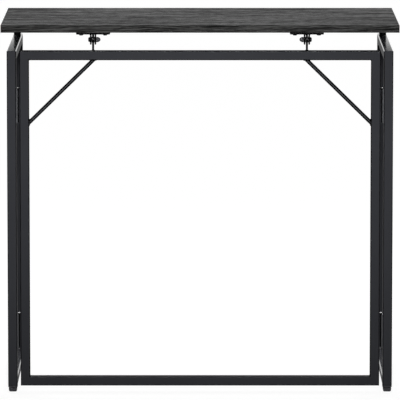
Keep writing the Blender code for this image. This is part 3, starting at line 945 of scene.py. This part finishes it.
# %% [markdown]
# ## The board and its bands
#
# The panel is a plain slab with crisp edges, since melamine paper is cut flush. Its four bands are glued
# strips: each is a block whose outer edges are rounded by the trimming cutter. The bands reach in until
# only a hairline of glue is left between band and panel.

# %% Board and edge bands
PANEL_EASE = 0.12 * MM
BAND_EASE = 0.8 * MM
BAND_STEPS = 3
GLUE_LINE = 0.06 * MM
BANDS = (("rear", 1, 0), ("front", 1, 1), ("left", 0, 0), ("right", 0, 1))


def edge_band(node, axis, end):
    """A strip on the panel's low side along an axis for end 0, or its high side for end 1."""
    low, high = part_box(node)
    inner, outer = (low, high) if end else (high, low)
    inner[axis] = panel_box[end][axis] + (GLUE_LINE if end else -GLUE_LINE)
    strip = block(low, high)
    rim = [e for e in strip.edges if all(abs(v.co[axis] - outer[axis]) < NEAR for v in e.verts)]
    round_over(strip, rim, BAND_EASE, BAND_STEPS)
    return strip


panel_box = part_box("desktop_board")
panel = block(*panel_box)
round_over(panel, panel.edges, PANEL_EASE, 1)
finish_piece("desktop_board", panel, oak, "desktop", ["desktop_board"])
for side, axis, end in BANDS:
    node = f"{side}_edge_band"
    finish_piece(node, edge_band(node, axis, end), edge_oaks[1 - axis], "desktop", [node])
print("board of", [round(v / MM, 1) for v in panel_box[1] - panel_box[0]], "mm with 4 bands")

# %% [markdown]
# ## Clevis brackets
#
# Under the board a screw plate with two ears holds the bolt. The ears are the same tab as the lug, turned
# over, so the lug's tool makes them. Small beads join their outer faces to the plate, and a heavy one
# closes the slot between them on the sitter's side.

# %% Clevis brackets
PLATE_CORNER = 4 * MM
EAR_SHEET = 3 * MM
EAR_GAP = 6.4 * MM
EAR_BEAD = 0.6 * BEAD
EAR_BEAD_SHARE = 0.9
SLOT_BEAD = 3.4 * MM
SCREW_HEAD = 2.5 * MM
TURNED_OVER = Matrix.Rotation(math.pi, 4, "X")


def screw_plate(low, high):
    plate = block(low, high)
    round_over(plate, edges_along(plate, 2), PLATE_CORNER)
    round_over(plate, sharp_edges(plate), EASE, EASE_STEPS)
    return plate


def clevis_bracket(side):
    low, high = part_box(f"{side}_clevis_bracket")
    axis = middle(f"{side}_hinge_bolt")
    lug_x = middle(f"{side}_hinge_lug").x
    radius = axis.z - low.z
    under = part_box(f"{side}_bracket_screw_1")[0].z + SCREW_HEAD
    shapes = [screw_plate(Vector((low.x, low.y, under)), high)]
    for way in (-1, 1):
        x = lug_x + way * (EAR_GAP + EAR_SHEET) / 2
        ear = tab(radius, high.z - axis.z - EASE, 2 * radius, EAR_SHEET)
        shapes.append(put(ear, (x, axis.y, axis.z), TURNED_OVER))
        outside, reach = x + way * EAR_SHEET / 2, radius * EAR_BEAD_SHARE
        ends = [(outside, axis.y + end * reach, under) for end in (-1, 1)]
        shapes.append(straight_bead(*ends, EAR_BEAD))
    ends = [(lug_x + way * EAR_GAP / 2, axis.y + radius, under) for way in (-1, 1)]
    shapes.append(straight_bead(*ends, SLOT_BEAD))
    return joined(shapes)


for side, _ in SIDES:
    node = f"{side}_clevis_bracket"
    # The bracket takes the fitting coat, darkened as painted shade under the board.
    finish_piece(node, clevis_bracket(side), fitting_painted_shade_steel, "desktop", [node])
print("2 clevis brackets")

# %% [markdown]
# ## Screws, bolts, nuts and washers
#
# Fasteners are turned shapes with a recess. A recess starts as an inset of the flat on the head: its ring
# of points is pulled into a cross or a hexagon, and that face is pushed in. The cap nut is a hexagon with
# eased edges, with a thin collar and a spun dome on it. The washers can hardly be seen, so they keep their
# solids and only get a finish.

# %% Fastener tools
CROSS_ARM = 0.9 * MM
CROSS_SLIM = 0.01
RECESS_RIM = 0.1 * MM


def cross_radius(angle, reach):
    """The radius of a cross recess at an angle."""
    along = max(abs(math.cos(angle)), abs(math.sin(angle)))
    across = min(abs(math.cos(angle)), abs(math.sin(angle)))
    return min(reach / along, CROSS_ARM / max(across, CROSS_SLIM))


def hex_radius(angle, flat):
    """The radius of a hexagon at an angle, by half its width across flats."""
    sixth = math.pi / 3
    return flat / math.cos(angle % sixth - sixth / 2)


def recess(bm, height, depth, radius_at, taper):
    """Cuts a recess into the flat face at the top of a turned head."""
    level = [f for f in bm.faces if abs(f.calc_center_median().z - height) < NEAR]
    flat = max(level, key=lambda f: len(f.verts))
    bmesh.ops.inset_region(bm, faces=[flat], thickness=RECESS_RIM)
    for vert in flat.verts:
        angle = math.atan2(vert.co.y, vert.co.x)
        radius = radius_at(angle)
        vert.co.x, vert.co.y = radius * math.cos(angle), radius * math.sin(angle)
    bottom = extruded(bm, flat)
    bmesh.ops.translate(bm, verts=bottom.verts, vec=(0, 0, -depth))
    bmesh.ops.scale(bm, verts=bottom.verts, vec=(taper, taper, 1))


def open_head(profile):
    """A turned head whose last ring is closed by one flat face."""
    bm = turned(profile)
    rim = [e for e in bm.edges if e.is_boundary and e.verts[0].co.z > profile[0][1] + NEAR]
    bmesh.ops.contextual_create(bm, geom=rim)
    return bm


print("arms of a cross recess", 2 * CROSS_ARM / MM, "mm wide")

# %% Bracket screws
SCREW_SHANK = 2 * MM
SCREW_POINT = ((0, 0), (0.6 * MM, 1 * MM), (SCREW_SHANK, 4 * MM))
PAN_HEAD = ((1, 0), (1, 0.2), (0.94, 0.55), (0.78, 0.88), (0.6, 1))
CROSS_DEPTH = 1.3 * MM
CROSS_REACH = 2.4 * MM
CROSS_TAPER = 0.7


def screw_shape(head_radius, length):
    """A pan-head screw along Z: its head stands on the origin, and its point is a length below."""
    profile = [(radius, height - length) for radius, height in SCREW_POINT] + [(SCREW_SHANK, 0)]
    profile += [(head_radius * r, SCREW_HEAD * h) for r, h in PAN_HEAD]
    bm = open_head(profile)
    recess(bm, SCREW_HEAD, CROSS_DEPTH, lambda angle: cross_radius(angle, CROSS_REACH), CROSS_TAPER)
    return bm


for side, _ in SIDES:
    for number in range(1, 5):
        node = f"{side}_bracket_screw_{number}"
        low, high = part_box(node)
        centre = middle(node)
        shape = screw_shape((high.x - low.x) / 2, high.z - low.z - SCREW_HEAD)
        put(shape, (centre.x, centre.y, low.z + SCREW_HEAD), TURNED_OVER)
        finish_piece(node, shape, black_zinc, "desktop", [node])
print("8 screws")

# %% Bolt and nut shapes
BOLT_SHANK = 3 * MM
BOLT_HEAD = 3.3 * MM
BUTTON_HEAD = ((1, 0), (1, 0.2), (0.97, 0.38), (0.88, 0.65), (0.75, 0.88), (0.62, 1))
SOCKET_FLAT = 2 * MM
SOCKET_DEPTH = 1.8 * MM
NUT_FLAT = 5 * MM
NUT_HEX = 4.2 * MM
NUT_DOME = 4.4 * MM
NUT_EASE = 0.35 * MM
NUT_STEPS = 3
COLLAR_SHARE = 0.97
COLLAR_SINK = 0.2 * MM
COLLAR_RISE = 0.15 * MM
DOME_STEPS = 12


def bolt_shape(length, head_radius):
    """A button-head bolt along Z, with its head at the top."""
    shank = length - BOLT_HEAD
    profile = [(0, 0), (BOLT_SHANK, 0), (BOLT_SHANK, shank)]
    profile += [(head_radius * r, shank + BOLT_HEAD * h) for r, h in BUTTON_HEAD]
    bm = open_head(profile)
    recess(bm, length, SOCKET_DEPTH, lambda angle: hex_radius(angle, SOCKET_FLAT), 1)
    return bm


def nut_shape(length):
    """A cap nut along Z, with its dome at the top."""
    bm = bmesh.new()
    corner = NUT_FLAT / math.cos(math.pi / 6)
    made = bmesh.ops.create_circle(bm, cap_ends=True, radius=corner, segments=6)
    top = extruded(bm, made["verts"][0].link_faces[0], keep=True)
    bmesh.ops.translate(bm, verts=top.verts, vec=(0, 0, NUT_HEX))
    round_over(bm, bm.edges, NUT_EASE, NUT_STEPS)
    collar, low, high = NUT_FLAT * COLLAR_SHARE, NUT_HEX - COLLAR_SINK, NUT_HEX + COLLAR_RISE
    arc = [math.pi / 2 * i / DOME_STEPS for i in range(DOME_STEPS)]
    dome = [(NUT_DOME * math.cos(a), NUT_HEX + (length - NUT_HEX) * math.sin(a)) for a in arc]
    profile = [(0, low), (collar, low), (collar, high)] + dome + [(0, length)]
    return joined([bm, turned(profile)])


print("nut", 2 * NUT_FLAT / MM, "mm across flats")


# %% Hinge bolts, cap nuts and washers
def laid(shape, start, axis, way):
    """Lays a shape along X on the bolt's axis, with its top to the left or the right."""
    return put(shape, (start, axis.y, axis.z), Matrix.Rotation(way * math.pi / 2, 4, "Y"))


for side, sign in SIDES:
    bolt, nut = f"{side}_hinge_bolt", f"{side}_cap_nut"
    bolt_box, nut_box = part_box(bolt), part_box(nut)
    axis, size = middle(bolt), bolt_box[1] - bolt_box[0]
    shape = laid(bolt_shape(size.x, size.z / 2), bolt_box[sign < 0].x, axis, sign)
    finish_piece(bolt, shape, black_zinc, "desktop", [bolt])
    shape = laid(nut_shape(nut_box[1].x - nut_box[0].x), nut_box[sign > 0].x, axis, -sign)
    finish_piece(nut, shape, nickel, "desktop", [nut])
    for where in ("outer", "inner"):
        node = f"{side}_{where}_washer"
        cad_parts[node].data.materials.clear()
        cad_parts[node].data.materials.append(plastic)
print("2 bolts, 2 cap nuts, 4 washers")

# %% [markdown]
# ## Studio, light and camera
#
# The photograph is a plain catalogue picture: white all round, with soft light from above. The floor is a
# wide sheet of paper. Camera and mirror rays see it lifted to white, and a little less near the desk, where
# the softboxes already light it, so that the sheet is evenly white and a faint shadow is left. The world
# does the same. A small softbox stands far off on the photographed side. Its grid narrows the light to a
# cone that fades towards the floor, so the tubes get darker downwards as they do in the photograph. A large
# one hangs over the sitter's side and lights the board's top and the mirrors on the side rails.

# %% Floor and world
FLOOR_SIDE = 80.0
PAPER = "6a6a6a"
PAPER_MATT = 0.9
LIT_REACH = (0.3, 3.0)
PAPER_LIFT = (0.915, 0.975)
AMBIENT = 0.15
WHITE = (1, 1, 1, 1)


def seen_directly(tree):
    """1 for rays from the camera, and for those that reach here by a mirror or through glass."""
    path = add_node(tree, "ShaderNodeLightPath")
    first = larger(tree, path.outputs["Is Camera Ray"], path.outputs["Is Glossy Ray"])
    return larger(tree, first, path.outputs["Is Transmission Ray"])


def white_paper():
    colours = {"Base_Color": linear(PAPER), "Emission_Color": WHITE}
    made, tree, shader = new_material("white_paper", Roughness=PAPER_MATT, Specular_IOR_Level=0.0, **colours)
    reach = add_node(tree, "ShaderNodeVectorMath", {0: own_place(tree)}, operation="LENGTH").outputs["Value"]
    level = stretch(tree, reach, *LIT_REACH, *PAPER_LIFT)
    lift = add_node(tree, "ShaderNodeMath", {0: seen_directly(tree), 1: level}, operation="MULTIPLY")
    drive(tree, shader, Emission_Strength=lift.outputs["Value"])
    return made


def paper_floor():
    bm = bmesh.new()
    bmesh.ops.create_grid(bm, x_segments=1, y_segments=1, size=FLOOR_SIDE / 2)
    mesh = bpy.data.meshes.new("floor")
    bm.to_mesh(mesh)
    bm.free()
    mesh.materials.append(white_paper())
    floor = bpy.data.objects.new("floor", mesh)
    bpy.context.collection.objects.link(floor)


def white_world():
    world = bpy.data.worlds.new("studio")
    world.use_nodes = True
    tree = world.node_tree
    ground = tree.nodes["Background"]
    ground.inputs["Color"].default_value = WHITE
    drive(tree, ground, Strength=stretch(tree, seen_directly(tree), 0.0, 1.0, AMBIENT, 1.0))
    bpy.context.scene.world = world


paper_floor()
white_world()
print("floor", FLOOR_SIDE, "m wide, ambient light", AMBIENT)


# %% Softboxes
def softbox(name, where, aim, size, watts, grid):
    """A softbox behind a honeycomb grid, which lets its light out in a cone of so many degrees."""
    lamp = bpy.data.lights.new(name, "AREA")
    lamp.shape = "RECTANGLE"
    lamp.size, lamp.size_y = size
    lamp.energy = watts
    lamp.spread = math.radians(grid)
    made = bpy.data.objects.new(name, lamp)
    made.location = where
    made.rotation_euler = (Vector(aim) - Vector(where)).to_track_quat("-Z", "Y").to_euler()
    bpy.context.collection.objects.link(made)
    print(name, watts, "W")


softbox("back_softbox", (0, -3.0, 1.5), aim=(0, -0.2, 0.52), size=(1.3, 0.5), watts=3.45, grid=32)
softbox("front_softbox", (0, 1.3, 1.9), aim=(0, 0, 0.7), size=(3.0, 1.6), watts=42, grid=180)

# %% Camera
PHOTO_DISTANCE = 9.85
PHOTO_HEIGHT = 1.627
PHOTO_TILT = math.radians(7.298)
PHOTO_LENS = 435.0
SENSOR_WIDTH = 36
FAR_END = 200

lens = bpy.data.cameras.new("catalogue_camera")
lens.lens = PHOTO_LENS
lens.sensor_width = SENSOR_WIDTH
lens.clip_end = FAR_END
camera = bpy.data.objects.new("catalogue_camera", lens)
camera.location = (0, -PHOTO_DISTANCE, PHOTO_HEIGHT)
camera.rotation_euler = (math.pi / 2 - PHOTO_TILT, 0, 0)
bpy.context.collection.objects.link(camera)
bpy.context.scene.camera = camera
bpy.context.scene.view_settings.view_transform = "Standard"
print("camera", PHOTO_DISTANCE, "m away,", PHOTO_LENS, "mm lens")
